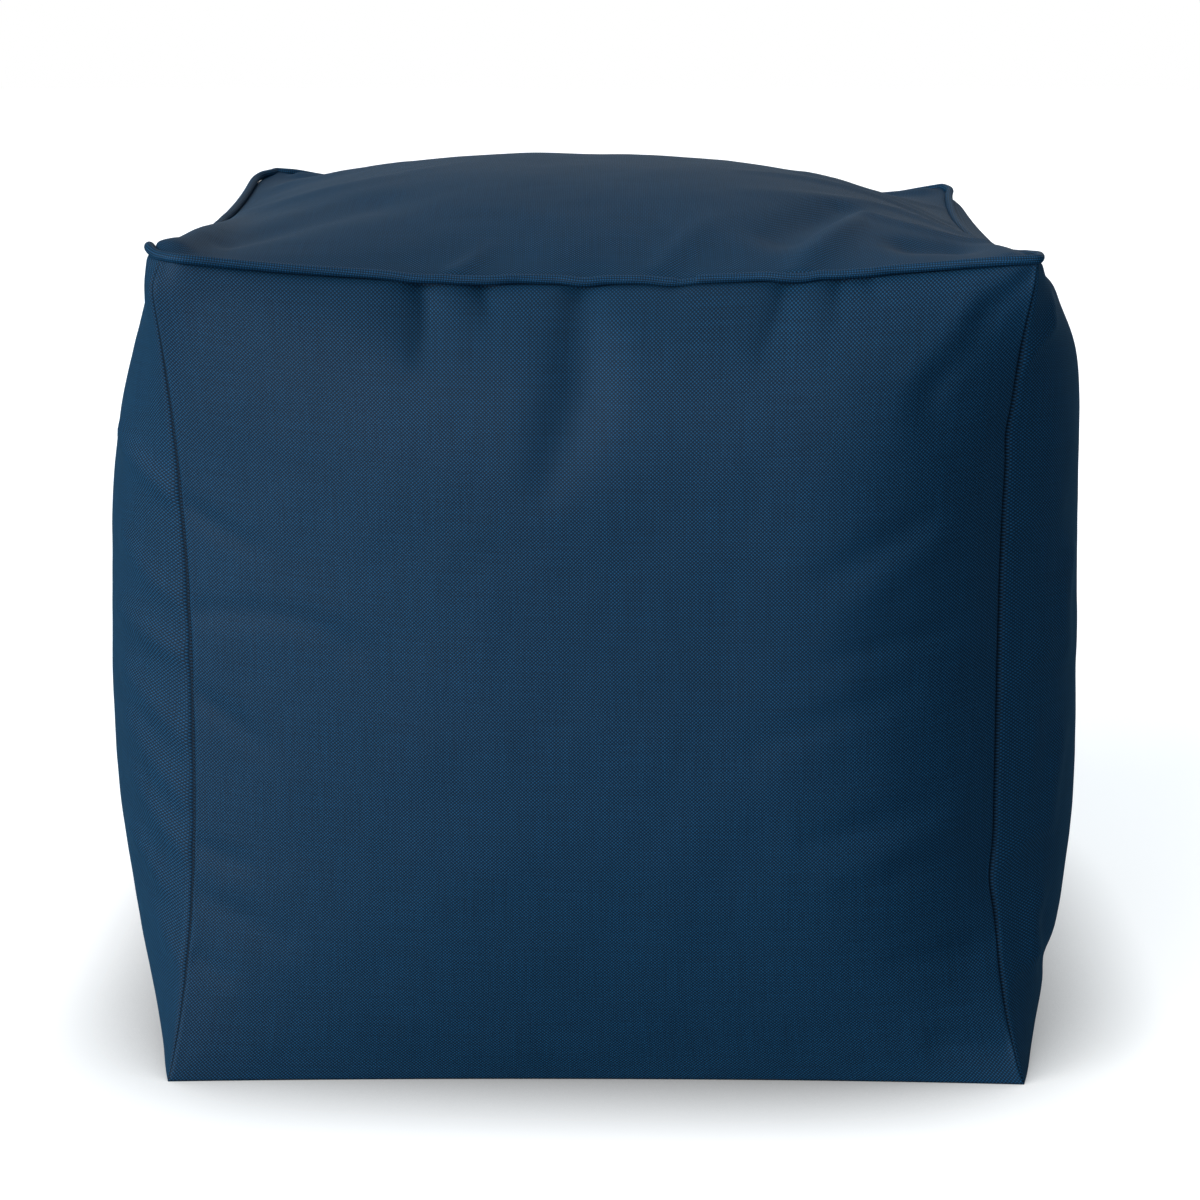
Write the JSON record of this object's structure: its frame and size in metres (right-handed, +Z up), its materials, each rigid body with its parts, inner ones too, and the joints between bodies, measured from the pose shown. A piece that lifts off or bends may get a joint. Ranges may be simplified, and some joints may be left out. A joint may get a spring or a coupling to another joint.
{
  "type": "bean bag footstool",
  "caption": "Cube-shaped bean-filled fabric footstool with a crowned top and round piping along the top edge.",
  "frame": {"origin": "middle of the underside's plane under the whole part's box", "axes": "+Z up, the front towards -Y, +X to the right as seen from the front"},
  "size_m": [0.4896, 0.4798, 0.427],
  "materials": {
    "cover_cloth": "matt navy plain-weave polyester with a faint sheen",
    "piping_cloth": "the cover's own navy plain-weave cloth, cut on the bias over a round cord"
  },
  "bodies": {
    "root": {"bag": "cover_cloth", "top_piping": "piping_cloth"}
  },
  "joints": []
}
